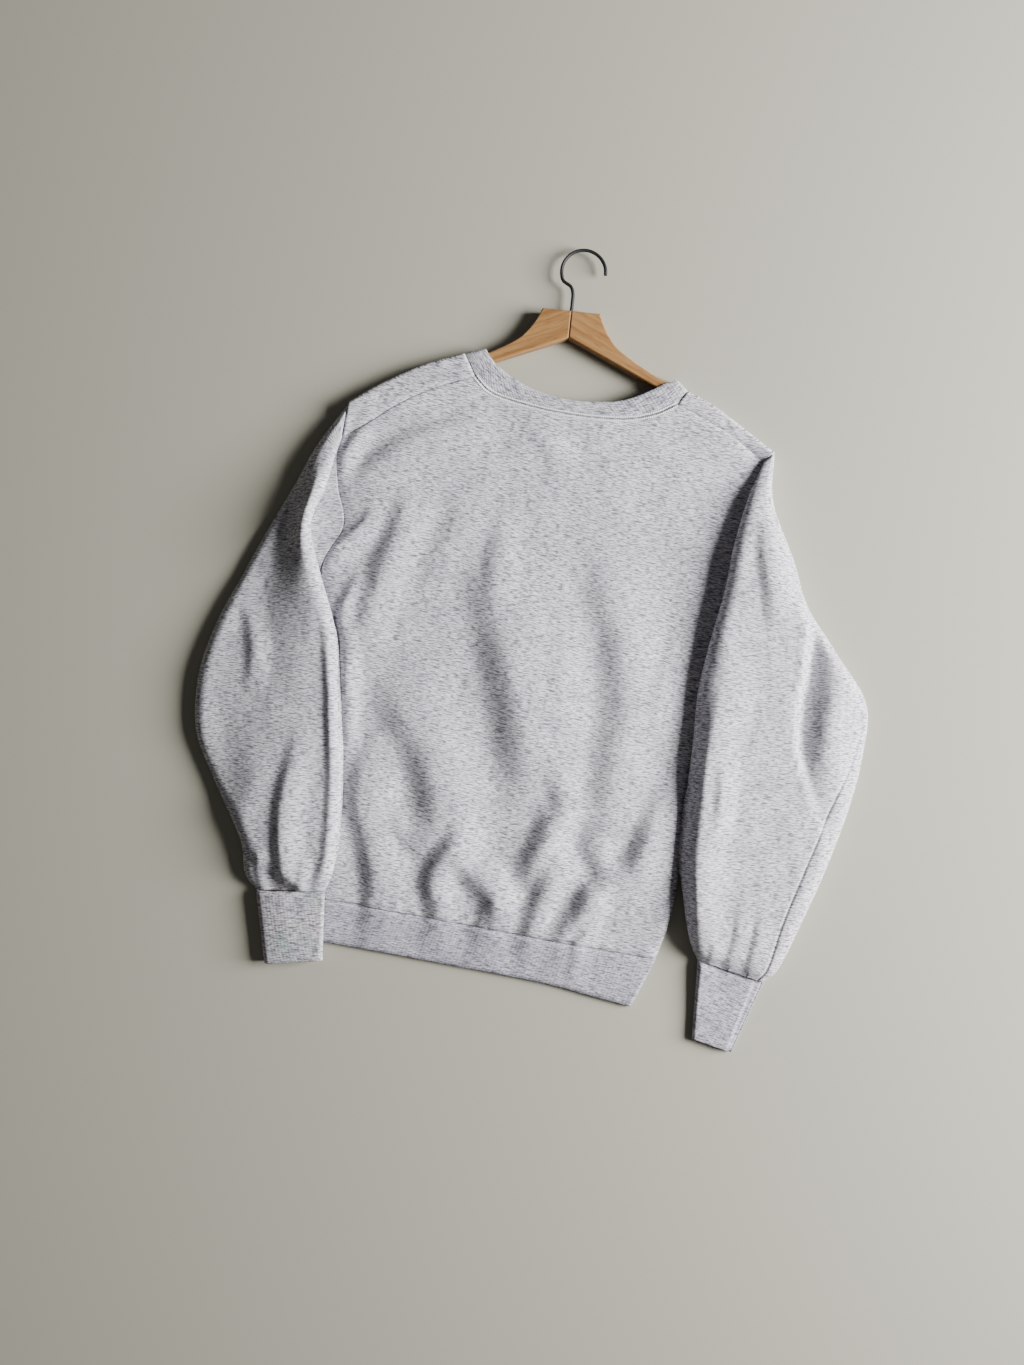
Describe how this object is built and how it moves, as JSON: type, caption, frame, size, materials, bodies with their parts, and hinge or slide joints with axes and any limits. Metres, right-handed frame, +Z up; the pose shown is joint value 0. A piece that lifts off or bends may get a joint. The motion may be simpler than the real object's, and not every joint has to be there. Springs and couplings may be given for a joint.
{
  "type": "crewneck sweatshirt on a wooden hanger",
  "caption": "Loose long-sleeved crewneck sweatshirt with ribbed collar, cuffs and hem, laid on its front with a wooden hanger still inside it.",
  "frame": {"origin": "centre of the whole outline on the surface it lies on", "axes": "+Z up off the surface, +Y from the hem towards the neck and the hook, +X towards the sleeve that lies clear of the body"},
  "size_m": [0.7379, 0.8437, 0.0447],
  "materials": {
    "fleece": "matt brushed jersey, pale grey",
    "rib": "matt fine rib, pale grey",
    "wood": "satin varnish",
    "wire": "smooth black"
  },
  "bodies": {
    "root": {"back_panel": "fleece", "front_panel": "fleece", "sleeve_left": "fleece", "sleeve_right": "fleece", "cuff_left": "rib", "cuff_right": "rib", "hem_rib": "rib", "neck_rib": "rib", "hanger_arm_left": "wood", "hanger_arm_right": "wood", "hanger_hook": "wire"}
  },
  "joints": []
}
